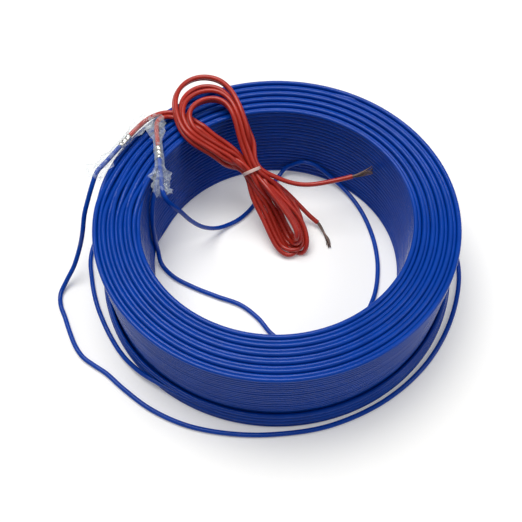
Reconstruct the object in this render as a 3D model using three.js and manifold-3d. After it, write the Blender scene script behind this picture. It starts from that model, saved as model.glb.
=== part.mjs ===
// A roll of soil heating cable: a single blue wire wound into a flat coil, spliced at both of its ends
// to red stranded supply leads, which are folded into a hank and held by a tie. Millimetres, +Z up.
// The coil lies on its end on the floor, and its axis is the Z axis.
import * as THREE from 'three';
import { mergeVertices } from 'three/addons/utils/BufferGeometryUtils.js';
import Module from 'manifold-3d';

// The wound coil
const WIRE_D = 2.2;             // over the blue insulation
const LAYERS = 11;              // layers of turns across the wall of the coil
const TURNS_HIGH = 20;          // turns in each full layer, one above the other
const BORE_R = 61;              // inside the innermost layer, at the top
const TAPER = 2.0;              // the walls are this much nearer the axis at the foot than at the top
const FOOT_TURNS = 2;           // turns of the part layer outside, at the foot of the coil
const CREST_FLAT = 1.0;         // width of the worn flat that a turn rests on
const GROOVE_DEPTH = 0.8;       // between two neighbouring turns on the walls
const COIL_SEGMENTS = 48;

// The supply leads and their splices
const LEAD_D = 2.5;             // over the red insulation
const SLEEVE_D = 5.2;           // clear splice sleeve, outside, at the middle
const SLEEVE_END_D = 6.4;       // the same where the ends flare
const SLEEVE_WALL = 0.35;
const SLEEVE_FLARE = 5;         // length of each flared end
const CRIMP_D = 3.0;            // metal barrel that joins wire and lead
const CRIMP_LENGTH = 7;

// The hank and its tie
const LIMB_UPPER_D = 7.2;       // a side of the loop that lies on the coil
const LIMB_LOWER_D = 6.2;       // a side of the loop that hangs into the bore
const NECK_D = 10.8;            // all strands together where they are tied
const NECK_LENGTH = 11;
const LOOP_ROOT = 4;            // from the tie to where a loop's sides meet, inside the neck
const TIE_WIDTH = 2.0;
const TIE_THICK = 0.8;

// The stripped conductors
const STRANDS_D = 1.3;          // the copper strands where they leave the insulation
const FAN_END_D = 3.2;          // the same where they spread

const CLEAR = 0.3;              // between pieces that touch

// Numbers of flat sides
const CORD_SIDES = 8;
const LIMB_SIDES = 10;
const ROUND_SIDES = 16;

const wirePitch = WIRE_D * Math.sqrt(3) / 2;
const coilHeight = TURNS_HIGH * WIRE_D;

const materials = {
  blue: () => new THREE.MeshStandardMaterial({ color: 0x2450aa, roughness: 0.4, metalness: 0 }),
  red: () => new THREE.MeshStandardMaterial({ color: 0xbe3c32, roughness: 0.45, metalness: 0 }),
  clear: () => new THREE.MeshStandardMaterial({
    color: 0xe6ebf0, roughness: 0.15, metalness: 0, transparent: true, opacity: 0.4,
  }),
  tinned: () => new THREE.MeshStandardMaterial({ color: 0xc8c8c4, roughness: 0.3, metalness: 1 }),
  copper: () => new THREE.MeshStandardMaterial({ color: 0x9a7060, roughness: 0.4, metalness: 1 }),
  tie: () => new THREE.MeshStandardMaterial({ color: 0xe6d2cd, roughness: 0.4, metalness: 0 }),
};

const model = new THREE.Group();

function addPiece(name, geometry, material) {
  const piece = new THREE.Mesh(geometry, material());
  piece.name = name;
  model.add(piece);
  return piece;
}

// A point [azimuth in degrees, distance from the coil's axis, height]
function aroundCoil([azimuth, radius, height]) {
  const turn = THREE.MathUtils.degToRad(azimuth);
  return new THREE.Vector3(radius * Math.cos(turn), radius * Math.sin(turn), height);
}

// Points along a stretch that is wound on the coil, at an even height and radius
function wound(fromAzimuth, toAzimuth, radius, height, count) {
  const points = [];
  for (let i = 0; i < count; i += 1) {
    points.push([fromAzimuth + (toAzimuth - fromAzimuth) * i / (count - 1), radius, height]);
  }
  return points;
}

function circle(diameter, sides) {
  const outline = new THREE.Shape();
  for (let i = 0; i < sides; i += 1) {
    const turn = 2 * Math.PI * (i + 0.5) / sides;
    const x = diameter / 2 * Math.cos(turn);
    const y = diameter / 2 * Math.sin(turn);
    if (i === 0) outline.moveTo(x, y);
    else outline.lineTo(x, y);
  }
  return outline;
}

function tube(points, diameter, steps, sides = CORD_SIDES) {
  const path = new THREE.CatmullRomCurve3(points, false, 'centripetal');
  return new THREE.ExtrudeGeometry(circle(diameter, sides), { steps, extrudePath: path, curveSegments: 1 });
}

// A shape turned about +Z and then laid along the line between two points
function laidAlong(geometry, from, to) {
  const direction = to.clone().sub(from);
  const turn = new THREE.Quaternion().setFromUnitVectors(new THREE.Vector3(0, 0, 1), direction.normalize());
  geometry.applyQuaternion(turn);
  geometry.translate(from.x, from.y, from.z);
  return geometry;
}

// A lathe turns about +Y, so it is stood up on +Z
function turned(profile, segments) {
  const points = profile.map(([radius, height]) => new THREE.Vector2(radius, height));
  points.push(points[0].clone());
  const geometry = new THREE.LatheGeometry(points, segments);
  geometry.rotateX(Math.PI / 2);
  return geometry;
}

// A wall's outline from its lowest turn upwards: a crest at each turn and a groove between two turns.
// The side is 1 for an outer wall and -1 for the wall of the bore.
function wallOutline(radius, side, fromTurn, toTurn) {
  const outline = [];
  for (let turn = fromTurn; turn < toTurn; turn += 1) {
    if (turn > fromTurn) outline.push([radius - side * GROOVE_DEPTH, turn * WIRE_D]);
    outline.push([radius, (turn + 0.5) * WIRE_D]);
  }
  return outline;
}

// The coil was wound on a slightly tapered former, so its layers lean towards the axis at the foot
function leaning(outline) {
  return outline.map(([radius, height]) => [radius - TAPER * (1 - height / coilHeight), height]);
}

// The coil's section. Odd layers lie half a turn lower at the top, in the valleys between their
// neighbours, so a ridge stands at every turn of the even ones, and the foot has the same pattern.
function coilSection() {
  const layerRadius = (layer) => BORE_R + WIRE_D / 2 + layer * wirePitch;
  const end = [];
  for (let layer = 0; layer < LAYERS; layer += 1) {
    const radius = layerRadius(layer);
    if (layer > 0) end.push([radius - wirePitch / 2, 0.75 * WIRE_D]);
    if (layer % 2 === 0) {
      end.push([radius - CREST_FLAT / 2, 0]);
      end.push([radius + CREST_FLAT / 2, 0]);
    } else {
      end.push([radius, WIRE_D / 2]);
    }
  }
  const outerRadius = layerRadius(LAYERS - 1) + WIRE_D / 2;
  const footRadius = layerRadius(LAYERS) + WIRE_D / 2;
  const footHeight = FOOT_TURNS * WIRE_D;
  const foot = [
    [footRadius - WIRE_D / 2, 0],
    ...wallOutline(footRadius, 1, 0, FOOT_TURNS),
    [footRadius - WIRE_D / 2, footHeight],
    ...leaning([[outerRadius - GROOVE_DEPTH, footHeight]]),
  ];
  const top = end.map(([radius, drop]) => [radius, coilHeight - drop]).reverse();
  return [
    ...leaning(end),
    ...foot,
    ...leaning([
      ...wallOutline(outerRadius, 1, FOOT_TURNS, TURNS_HIGH),
      ...top,
      ...wallOutline(BORE_R, -1, 0, TURNS_HIGH).reverse(),
    ]),
  ];
}

addPiece('heating_cable_coil', turned(coilSection(), COIL_SEGMENTS), materials.blue);

// Each splice lies along a straight line from its lead end to its wire end
const splices = {
  outer: {
    lead: new THREE.Vector3(-64.9, 48.5, 48.1),
    wire: new THREE.Vector3(-82.4, 21.0, 46.6),
    crimpAt: 0.36,
  },
  inner: {
    lead: new THREE.Vector3(-57.6, 50.2, 48.0),
    wire: new THREE.Vector3(-51.3, 9.8, 46.8),
    crimpAt: 0.46,
  },
};

function alongSplice(splice, share) {
  return splice.lead.clone().lerp(splice.wire, share);
}

// The share of a splice's length at which a wire or lead meets the crimp's face
function crimpFace(splice, side) {
  const reach = (CRIMP_LENGTH / 2 + CLEAR) / splice.lead.distanceTo(splice.wire);
  return splice.crimpAt + side * reach;
}

function addSplice(name, splice) {
  const length = splice.lead.distanceTo(splice.wire);
  const middle = SLEEVE_D / 2;
  const end = SLEEVE_END_D / 2;
  const sleeve = turned([
    [end, 0],
    [middle, SLEEVE_FLARE],
    [middle, length - SLEEVE_FLARE],
    [end, length],
    [end - SLEEVE_WALL, length],
    [middle - SLEEVE_WALL, length - SLEEVE_FLARE],
    [middle - SLEEVE_WALL, SLEEVE_FLARE],
    [end - SLEEVE_WALL, 0],
  ], ROUND_SIDES);
  addPiece(`${name}_splice_sleeve`, laidAlong(sleeve, splice.lead, splice.wire), materials.clear);

  const crimp = turned([[0, 0], [CRIMP_D / 2, 0], [CRIMP_D / 2, CRIMP_LENGTH], [0, CRIMP_LENGTH]], ROUND_SIDES);
  const start = alongSplice(splice, splice.crimpAt - CRIMP_LENGTH / 2 / length);
  addPiece(`${name}_splice_crimp`, laidAlong(crimp, start, splice.wire), materials.tinned);
}

addSplice('outer', splices.outer);
addSplice('inner', splices.inner);

// The outer end of the wire: down from its splice over the coil's edge, once round on the floor, and
// behind the coil, where the loose turns take it on
const OUTER_DROP = [
  [-84.6, 15.6, 43.5], [-87.0, 12.0, 38.0], [-89.4, 7.5, 32.0], [-91.3, 2.3, 24.0],
  [-93.5, -0.6, 17.0], [-97.2, -6.6, 9.0], [-101.4, -12.1, 3.6], [-103.8, -17.8, 1.2],
];
const OUTER_ROUND = [
  [-167.0, 105.6, 1.1], [-163.0, 104.4, 1.1], [-158.0, 103.8, 1.1], [-153.5, 103.4, 1.1],
  [-149.8, 102.2, 1.1], [-146.2, 99.6, 1.1], [-142.6, 97.2, 1.1], [-135.5, 95.5, 1.1],
  [-126.0, 94.3, 1.1], [-115.0, 92.4, 1.1], [-103.0, 89.7, 1.1], [-90.0, 87.6, 1.1],
  [-74.0, 86.8, 1.1], [-55.0, 86.5, 1.1], [-36.0, 87.0, 1.1], [-16.0, 88.0, 1.1],
  [2.0, 89.0, 1.1], [30.0, 88.4, 1.1], [60.0, 87.6, 1.1], [90.0, 87.4, 1.1],
];
const TAIL_JOIN = [114, 87.4, 1.1];

// The last two turns have come loose: one sags to the floor at the left, and both climb on the foot
// of the coil at the front
const LOOSE_FIRST = [
  [138.0, 87.8, 1.1], [160.0, 90.6, 1.1], [176.5, 92.0, 1.1], [186.0, 90.2, 1.1], [194.0, 88.9, 1.1],
  [201.0, 87.8, 1.1], [209.0, 87.0, 1.3], [216.5, 86.5, 2.2], [224.5, 86.1, 4.0], [232.0, 85.2, 5.8],
];
const LOOSE_SECOND = [
  [560.0, 84.3, 5.9], [573.0, 84.3, 6.4], [584.0, 84.3, 7.6], [594.0, 84.3, 8.4],
];
const FIRST_HEIGHT = 5.85;
const SECOND_HEIGHT = 8.2;
const LOOSE_RADIUS = 84.2;

const sleeveRun = (splice) => [alongSplice(splice, crimpFace(splice, 1)), alongSplice(splice, 0.8), splice.wire];
const outerTail = [
  ...sleeveRun(splices.outer),
  ...OUTER_DROP.map((point) => new THREE.Vector3(...point)),
  ...[...OUTER_ROUND, TAIL_JOIN].map(aroundCoil),
];
addPiece('outer_tail', tube(outerTail, WIRE_D, 80), materials.blue);

const looseTurns = [
  [TAIL_JOIN[0] + 0.3, TAIL_JOIN[1], TAIL_JOIN[2]],
  ...LOOSE_FIRST,
  ...wound(242, 544, LOOSE_RADIUS, FIRST_HEIGHT, 16),
  ...LOOSE_SECOND,
  ...wound(606, 762, LOOSE_RADIUS, SECOND_HEIGHT, 9),
].map(aroundCoil);
addPiece('loose_turns', tube(looseTurns, WIRE_D, 80), materials.blue);

// The inner end of the wire: from its splice down into the bore, a springy loop that leans on the
// bore's back wall, along the foot of the front wall, and up the left wall to the innermost layer
const INNER_ROUTE = [
  [-49.9, 7.0, 44.9], [-48.3, 6.4, 41.8], [-44.3, 7.2, 34.5], [-40.6, 9.6, 24.0], [-35.4, 13.8, 12.5],
  [-29.2, 19.2, 4.2], [-23.4, 23.4, 1.6], [-19.0, 26.6, 1.2], [-14.2, 31.6, 1.2], [-9.6, 38.6, 1.2],
  [-4.0, 46.6, 1.4], [1.0, 53.2, 2.2], [4.7, 57.2, 4.6], [8.9, 57.3, 7.6], [14.0, 56.5, 10.6],
  [19.1, 54.9, 10.6], [24.4, 52.7, 8.2], [30.5, 49.2, 4.6], [36.8, 43.2, 2.2], [42.8, 33.4, 1.3],
  [46.9, 22.1, 1.15], [49.3, 10.0, 1.15], [49.6, -4.0, 1.15], [46.4, -19.8, 1.15], [38.0, -34.2, 1.15],
  [24.0, -43.6, 1.15], [10.0, -45.0, 1.15], [-1.1, -39.7, 1.15], [-8.4, -30.6, 1.15], [-16.6, -23.6, 1.15],
  [-28.8, -18.6, 1.15], [-40.4, -13.4, 1.15], [-50.2, -7.6, 1.3], [-56.4, -0.6, 2.0], [-57.9, 4.1, 7.0],
  [-58.3, 4.7, 17.5], [-58.4, 7.5, 26.0], [-57.9, 12.0, 32.0], [-56.4, 18.0, 37.5],
];
const innerTail = [...sleeveRun(splices.inner), ...INNER_ROUTE.map((point) => new THREE.Vector3(...point))];
addPiece('inner_tail', tube(innerTail, WIRE_D, 80), materials.blue);

// The red leads run from the crimps through the sleeves' other ends to the hank
const OUTER_LEAD = [[-61.3, 54.4, 46.8], [-57.6, 57.4, 46.0], [-53.8, 59.0, 46.0], [-50.6, 59.4, 46.4]];
const INNER_LEAD = [[-57.9, 53.4, 47.4], [-56.6, 55.4, 46.5], [-54.2, 56.2, 46.0], [-50.4, 56.4, 46.4]];

function addLead(name, splice, route) {
  const points = [
    alongSplice(splice, crimpFace(splice, -1)),
    alongSplice(splice, 0.1),
    ...route.map((point) => new THREE.Vector3(...point)),
  ];
  addPiece(name, tube(points, LEAD_D, 12), materials.red);
}

addLead('outer_lead', splices.outer, OUTER_LEAD);
addLead('inner_lead', splices.inner, INNER_LEAD);

// The hank: an open loop that lies on the coil, a neck at the tie and a loop that leans down to the
// floor in the bore, joined into one body
const NECK = new THREE.Vector3(-11.8, 36.4, 28.0);
const NECK_AXIS = new THREE.Vector3(-17.8, 32.4, 26.0).normalize();
const UPPER_LOOP = [
  [-12.9, 44.6, 37.0], [-14.6, 52.2, 44.6], [-16.6, 58.2, 48.0], [-19.6, 64.0, 48.3], [-25.6, 70.0, 48.3],
  [-33.4, 72.6, 48.3], [-40.6, 70.4, 48.3], [-45.0, 64.2, 48.3], [-45.8, 56.8, 48.3], [-43.2, 48.8, 48.3],
  [-37.6, 42.6, 47.4], [-26.6, 38.2, 38.4],
];
const LOWER_LOOP = [
  [-9.4, 27.4, 21.4], [-5.6, 19.2, 14.4], [-1.6, 12.2, 8.6], [2.6, 7.0, 4.6], [7.8, 5.4, 3.6],
  [11.8, 9.0, 4.2], [12.4, 15.4, 6.8], [10.2, 21.4, 11.4], [5.4, 26.4, 16.8], [-2.4, 30.6, 22.4],
];

const manifoldModule = await Module();
manifoldModule.setup();

function toSolid(geometry) {
  const bare = geometry.clone();
  bare.deleteAttribute('normal');
  bare.deleteAttribute('uv');
  const merged = mergeVertices(bare, 1e-4);
  return new manifoldModule.Manifold(new manifoldModule.Mesh({
    numProp: 3,
    vertProperties: new Float32Array(merged.attributes.position.array),
    triVerts: new Uint32Array(merged.index.array),
  }));
}

function toGeometry(solid) {
  const mesh = solid.getMesh();
  const geometry = new THREE.BufferGeometry();
  geometry.setAttribute('position', new THREE.BufferAttribute(mesh.vertProperties, 3));
  geometry.setIndex(new THREE.BufferAttribute(mesh.triVerts, 1));
  geometry.computeVertexNormals();
  return geometry;
}

// A loop leaves the neck and comes back to it, inside the neck's end on its own side
function loopOf(route, diameter, steps, side) {
  const root = NECK.clone().addScaledVector(NECK_AXIS, side * LOOP_ROOT);
  const points = [root, ...route.map((point) => new THREE.Vector3(...point)), root];
  return toSolid(tube(points, diameter, steps, LIMB_SIDES));
}

function hank() {
  const half = NECK_AXIS.clone().multiplyScalar(NECK_LENGTH / 2);
  const neck = tube([NECK.clone().sub(half), NECK, NECK.clone().add(half)], NECK_D, 2, ROUND_SIDES);
  const upper = loopOf(UPPER_LOOP, LIMB_UPPER_D, 34, 1);
  const lower = loopOf(LOWER_LOOP, LIMB_LOWER_D, 26, -1);
  return toGeometry(toSolid(neck).add(upper).add(lower));
}

addPiece('lead_hank', hank(), materials.red);

function tie() {
  const inside = NECK_D / 2 + CLEAR;
  const outside = inside + TIE_THICK;
  const band = turned([
    [inside, 0],
    [outside, 0],
    [outside, TIE_WIDTH],
    [inside, TIE_WIDTH],
  ], 2 * ROUND_SIDES);
  const start = NECK.clone().addScaledVector(NECK_AXIS, -TIE_WIDTH / 2);
  return laidAlong(band, start, NECK.clone().addScaledVector(NECK_AXIS, TIE_WIDTH));
}

addPiece('hank_tie', tie(), materials.tie);

// The two free ends of the leads: one springs out to the bore's wall, and one rests on the floor
const LONG_END = [
  [-3.6, 35.2, 27.2], [0.4, 33.9, 26.0], [7.4, 31.6, 24.2], [14.9, 31.0, 23.5], [22.3, 31.9, 24.0],
  [29.8, 33.0, 25.2], [37.1, 33.8, 27.0],
];
const LONG_FAN = [47.4, 35.2, 30.0];
const SHORT_END = [
  [-0.6, 34.6, 20.4], [4.9, 33.6, 15.4], [9.2, 31.6, 11.0], [13.2, 28.8, 7.4], [17.2, 26.0, 4.6], [21.0, 23.3, 3.0],
];
const SHORT_STRANDS = [[22.6, 20.9, 2.2], [24.3, 17.8, 1.4], [26.0, 13.8, 0.9], [26.8, 9.2, 0.8]];

const asVectors = (route) => route.map((point) => new THREE.Vector3(...point));

addPiece('long_free_end', tube(asVectors(LONG_END), LEAD_D, 10), materials.red);
addPiece('short_free_end', tube(asVectors(SHORT_END), LEAD_D, 8), materials.red);

// The fanned strands widen towards their tips
function fan() {
  const [last, tip] = asVectors([LONG_END.at(-1), LONG_FAN]);
  const start = last.clone().addScaledVector(tip.clone().sub(last).normalize(), CLEAR);
  const length = start.distanceTo(tip);
  const cone = turned([
    [0, 0],
    [STRANDS_D / 2, 0],
    [FAN_END_D / 2, length],
    [0, length],
  ], ROUND_SIDES);
  return laidAlong(cone, start, tip);
}

addPiece('fanned_strands', fan(), materials.copper);

function twistedStrands() {
  const [last, next] = asVectors([SHORT_END.at(-1), SHORT_STRANDS[0]]);
  const start = last.clone().addScaledVector(next.clone().sub(last).normalize(), CLEAR);
  return tube([start, ...asVectors(SHORT_STRANDS)], STRANDS_D, 8);
}

addPiece('twisted_strands', twistedStrands(), materials.copper);

export default model;
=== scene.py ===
# %% [markdown]
# This lesson dresses a roll of soil heating cable. One blue wire is wound into a flat coil. A clear
# sleeve joins each of its ends to a red lead, and the two leads are folded into a tied hank.
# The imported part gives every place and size, so the script begins by loading it. Lengths are in metres.

import bpy
import numpy as np
from mathutils import Matrix


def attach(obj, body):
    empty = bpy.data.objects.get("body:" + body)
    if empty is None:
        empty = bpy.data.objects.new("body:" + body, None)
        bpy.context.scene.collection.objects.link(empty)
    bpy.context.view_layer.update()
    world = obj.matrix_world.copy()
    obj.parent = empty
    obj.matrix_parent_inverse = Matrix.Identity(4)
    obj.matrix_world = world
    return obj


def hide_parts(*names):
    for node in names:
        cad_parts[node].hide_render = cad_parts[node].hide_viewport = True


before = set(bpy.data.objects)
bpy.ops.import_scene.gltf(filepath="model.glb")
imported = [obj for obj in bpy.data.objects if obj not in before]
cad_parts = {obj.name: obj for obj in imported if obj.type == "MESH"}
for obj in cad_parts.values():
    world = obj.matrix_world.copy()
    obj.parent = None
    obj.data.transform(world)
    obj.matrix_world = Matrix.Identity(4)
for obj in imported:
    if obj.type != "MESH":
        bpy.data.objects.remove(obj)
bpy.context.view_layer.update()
MM = 0.001
print("packed nodes:", len(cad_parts))

# %% [markdown]
# The camera stands in front of the coil and looks down at about 58 degrees. Its place was worked out
# from the ellipses of the coil's rims in the photograph. Small turns to the side and up follow, because
# the coil is a little off the middle of the picture.

# %% Camera
CAMERA_DISTANCE = 0.39448
CAMERA_ELEVATION = 1.005201
CAMERA_YAW = -0.0188114
CAMERA_PITCH = 0.0046496
CAMERA_ROLL = 0.0017577


def turned_pair(first, second, angle):
    """Both directions turned by the angle in their own plane: first towards second."""
    return (
        first * np.cos(angle) + second * np.sin(angle),
        second * np.cos(angle) - first * np.sin(angle),
    )


def place_camera():
    place = CAMERA_DISTANCE * np.array([0, -np.cos(CAMERA_ELEVATION), np.sin(CAMERA_ELEVATION)])
    ahead = -place / np.linalg.norm(place)
    right = np.array([1.0, 0.0, 0.0])
    up = np.cross(right, ahead)
    ahead, up = turned_pair(ahead, up, CAMERA_PITCH)
    ahead, right = turned_pair(ahead, right, CAMERA_YAW)
    right, up = turned_pair(right, up, CAMERA_ROLL)
    data = bpy.data.cameras.new("view_from_front")
    data.sensor_width = 36
    data.lens = 800 / 522 * 36
    data.clip_start = 0.01
    camera = bpy.data.objects.new("view_from_front", data)
    bpy.context.scene.collection.objects.link(camera)
    camera.matrix_world = Matrix([
        [right[0], up[0], -ahead[0], place[0]],
        [right[1], up[1], -ahead[1], place[1]],
        [right[2], up[2], -ahead[2], place[2]],
        [0, 0, 0, 1],
    ])
    bpy.context.scene.camera = camera
    return camera


camera = place_camera()
print("camera at", [round(v, 3) for v in camera.matrix_world.translation])

# %% [markdown]
# All the plastic here is soft PVC. It is smooth and half glossy, a little uneven in shade, and it has
# faint dusty rubs where turns touched. A group of shader nodes makes that once, and each material gives
# it a colour and its own strength. The gloss itself is set on each material's shader.

# %% A shared group for handled plastic
def add_group_socket(group, name, kind, inside, value=None):
    socket = group.interface.new_socket(name=name, in_out=inside, socket_type=kind)
    if value is not None:
        socket.default_value = value
    return socket


def make_handled_plastic():
    """Colour varied by broad noise, mixed with pale rubs by sharp noise, and a fine height."""
    group = bpy.data.node_groups.new("handled_plastic", "ShaderNodeTree")
    add_group_socket(group, "Colour", "NodeSocketColor", "INPUT", (0.5, 0.5, 0.5, 1))
    add_group_socket(group, "Rub colour", "NodeSocketColor", "INPUT", (0.8, 0.8, 0.8, 1))
    add_group_socket(group, "Shade change", "NodeSocketFloat", "INPUT", 0.2)
    add_group_socket(group, "Rubs", "NodeSocketFloat", "INPUT", 0.2)
    add_group_socket(group, "Scale", "NodeSocketFloat", "INPUT", 100.0)
    add_group_socket(group, "Base roughness", "NodeSocketFloat", "INPUT", 0.35)
    add_group_socket(group, "Colour", "NodeSocketColor", "OUTPUT")
    add_group_socket(group, "Roughness", "NodeSocketFloat", "OUTPUT")
    add_group_socket(group, "Height", "NodeSocketFloat", "OUTPUT")
    nodes = group.nodes
    link = group.links.new
    given = nodes.new("NodeGroupInput")
    result = nodes.new("NodeGroupOutput")
    place = nodes.new("ShaderNodeTexCoord")

    broad = nodes.new("ShaderNodeTexNoise")
    broad.inputs["Detail"].default_value = 2
    link(place.outputs["Object"], broad.inputs["Vector"])
    link(given.outputs["Scale"], broad.inputs["Scale"])
    shade = nodes.new("ShaderNodeMapRange")
    shade.inputs["From Min"].default_value = 0.3
    shade.inputs["From Max"].default_value = 0.7
    link(broad.outputs["Fac"], shade.inputs["Value"])
    dark = nodes.new("ShaderNodeMath")
    dark.operation = "MULTIPLY"
    link(shade.outputs["Result"], dark.inputs[0])
    link(given.outputs["Shade change"], dark.inputs[1])
    darker = nodes.new("ShaderNodeMixRGB")
    darker.blend_type = "MULTIPLY"
    darker.inputs["Color2"].default_value = (0.35, 0.38, 0.45, 1)
    link(dark.outputs[0], darker.inputs["Fac"])
    link(given.outputs["Colour"], darker.inputs["Color1"])

    fine_scale = nodes.new("ShaderNodeMath")
    fine_scale.operation = "MULTIPLY"
    fine_scale.inputs[1].default_value = 9.0
    link(given.outputs["Scale"], fine_scale.inputs[0])
    fine = nodes.new("ShaderNodeTexNoise")
    fine.inputs["Detail"].default_value = 5
    fine.inputs["Roughness"].default_value = 0.65
    link(place.outputs["Object"], fine.inputs["Vector"])
    link(fine_scale.outputs[0], fine.inputs["Scale"])
    rub = nodes.new("ShaderNodeMapRange")
    rub.inputs["From Min"].default_value = 0.6
    rub.inputs["From Max"].default_value = 0.78
    link(fine.outputs["Fac"], rub.inputs["Value"])
    rub_share = nodes.new("ShaderNodeMath")
    rub_share.operation = "MULTIPLY"
    link(rub.outputs["Result"], rub_share.inputs[0])
    link(given.outputs["Rubs"], rub_share.inputs[1])
    rubbed = nodes.new("ShaderNodeMixRGB")
    link(rub_share.outputs[0], rubbed.inputs["Fac"])
    link(darker.outputs[0], rubbed.inputs["Color1"])
    link(given.outputs["Rub colour"], rubbed.inputs["Color2"])
    link(rubbed.outputs[0], result.inputs["Colour"])

    rough = nodes.new("ShaderNodeMath")
    rough.operation = "MULTIPLY_ADD"
    rough.inputs[1].default_value = 0.22
    link(fine.outputs["Fac"], rough.inputs[0])
    link(given.outputs["Base roughness"], rough.inputs[2])
    link(rough.outputs[0], result.inputs["Roughness"])
    link(fine.outputs["Fac"], result.inputs["Height"])
    return group


handled_plastic = make_handled_plastic()
print("group made:", handled_plastic.name)

# %% Plastic finishes
def started_material(name):
    """A new material, with its nodes, the call that links them and its shader."""
    material = bpy.data.materials.new(name)
    material.use_nodes = True
    tree = material.node_tree
    return material, tree.nodes, tree.links.new, tree.nodes["Principled BSDF"]


def plastic(name, colour, rub_colour, shade_change, rubs, scale, roughness, bump, specular=0.5):
    material, nodes, link, shader = started_material(name)
    surface = nodes.new("ShaderNodeGroup")
    surface.node_tree = handled_plastic
    surface.inputs["Colour"].default_value = (*colour, 1)
    surface.inputs["Rub colour"].default_value = (*rub_colour, 1)
    surface.inputs["Shade change"].default_value = shade_change
    surface.inputs["Rubs"].default_value = rubs
    surface.inputs["Scale"].default_value = scale
    surface.inputs["Base roughness"].default_value = roughness
    grain = nodes.new("ShaderNodeBump")
    grain.inputs["Strength"].default_value = bump
    grain.inputs["Distance"].default_value = 0.0001
    link(surface.outputs["Height"], grain.inputs["Height"])
    link(surface.outputs["Colour"], shader.inputs["Base Color"])
    link(surface.outputs["Roughness"], shader.inputs["Roughness"])
    link(grain.outputs["Normal"], shader.inputs["Normal"])
    shader.inputs["Specular IOR Level"].default_value = specular
    material.diffuse_color = (*colour, 1)
    return material


blue_pvc = plastic("blue_pvc", (0.0, 0.05, 0.37), (0.02, 0.14, 0.5), 0.25, 0.08, 90, 0.06, 0.1, 0.24)
red_pvc = plastic("red_pvc", (0.46, 0.026, 0.014), (0.7, 0.25, 0.2), 0.3, 0.16, 140, 0.18, 0.3, 0.45)
tie_plastic = plastic("tie_plastic", (0.72, 0.5, 0.45), (0.95, 0.9, 0.88), 0.25, 0.6, 260, 0.3, 0.4)
print("plastics:", blue_pvc.name, red_pvc.name, tie_plastic.name)

# %% [markdown]
# A wire is a route of a few points that a smooth curve joins. The curve is the same one that the solids
# use, so a wire lies exactly where its solid is. It is sampled at even steps, so its bends are smooth.

# %% Routes of wires
WIRE_D = 2.2
LEAD_D = 2.3


def smooth_route(points, step=1.0):
    """A centripetal Catmull-Rom curve through the points, then even steps along it by interpolation."""
    points = np.asarray(points, float)
    first = 2 * points[0] - points[1]
    last = 2 * points[-1] - points[-2]
    padded = np.vstack([first, points, last])
    gap = np.sqrt(np.linalg.norm(np.diff(padded, axis=0), axis=1))[:, None]
    before, middle, after = gap[:-2], gap[1:-1], gap[2:]
    p0, p1, p2, p3 = padded[:-3], padded[1:-2], padded[2:-1], padded[3:]
    leave = ((p1 - p0) / before - (p2 - p0) / (before + middle) + (p2 - p1) / middle) * middle
    reach = ((p2 - p1) / middle - (p3 - p1) / (middle + after) + (p3 - p2) / after) * middle
    t = np.linspace(0, 1, 24, endpoint=False)[None, :, None]
    p1, p2, leave, reach = (a[:, None, :] for a in (p1, p2, leave, reach))
    bend = -3 * p1 + 3 * p2 - 2 * leave - reach
    close = 2 * p1 - 2 * p2 + leave + reach
    curve = (p1 + leave * t + bend * t**2 + close * t**3).reshape(-1, 3)
    curve = np.vstack([curve, points[-1]])
    return even_steps(curve, step)


def even_steps(curve, step):
    """The same line with points at equal distances, by linear interpolation along its length."""
    along = np.concatenate([[0], np.cumsum(np.linalg.norm(np.diff(curve, axis=0), axis=1))])
    count = max(2, int(round(along[-1] / step)) + 1)
    at = np.linspace(0, along[-1], count)
    return np.stack([np.interp(at, along, curve[:, axis]) for axis in range(3)], axis=1)


def route_length(points):
    return np.linalg.norm(np.diff(points, axis=0), axis=1).sum()


def around_coil(stations):
    """Points [azimuth in degrees, distance from the axis, height] as x, y and z."""
    azimuth, radius, height = np.asarray(stations, float).T
    turn = np.radians(azimuth)
    return np.stack([radius * np.cos(turn), radius * np.sin(turn), height], axis=1)


def wound(start, end, radius, height, count):
    azimuth = np.linspace(start, end, count)
    return np.stack([azimuth, np.full(count, radius), np.full(count, height)], axis=1)


def wire_curve(name, route_mm, diameter_mm, material):
    curve = bpy.data.curves.new(name, "CURVE")
    curve.dimensions = "3D"
    curve.bevel_depth = diameter_mm / 2 * MM
    curve.bevel_resolution = 4
    curve.use_fill_caps = True
    spline = curve.splines.new("POLY")
    spline.points.add(len(route_mm) - 1)
    place = np.hstack([route_mm * MM, np.ones((len(route_mm), 1))])
    spline.points.foreach_set("co", place.ravel())
    spline.use_smooth = True
    curve.materials.append(material)
    wire = bpy.data.objects.new(name, curve)
    bpy.context.scene.collection.objects.link(wire)
    return wire


print("even steps on a test line:", len(smooth_route([[0, 0, 0], [10, 0, 0], [20, 5, 0]])))

# %% [markdown]
# Each splice lies on a straight line. The wire goes in at one end and the red lead at the other, and they
# meet in a metal barrel. The outer splice lies on the coil's outer edge at the left, and the inner one
# lies across the turns at the left of the bore.

# %% Where the splices lie
CRIMP_LENGTH = 7.0
CRIMP_GAP = 0.3
splices = {
    "outer": {
        "lead": np.array([-64.9, 48.5, 48.1]),
        "wire": np.array([-82.4, 21.0, 46.6]),
        "crimp_at": 0.36,
    },
    "inner": {
        "lead": np.array([-57.6, 50.2, 48.0]),
        "wire": np.array([-51.3, 9.8, 46.8]),
        "crimp_at": 0.46,
    },
}


def along_splice(splice, share):
    return splice["lead"] + (splice["wire"] - splice["lead"]) * share


def splice_frame(splice):
    """The splice's length, and unit directions along it, to its side and up from it."""
    line = splice["wire"] - splice["lead"]
    length = np.linalg.norm(line)
    axis = line / length
    side = np.cross(axis, [0.0, 0.0, 1.0])
    side /= np.linalg.norm(side)
    return length, axis, side, np.cross(side, axis)


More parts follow.
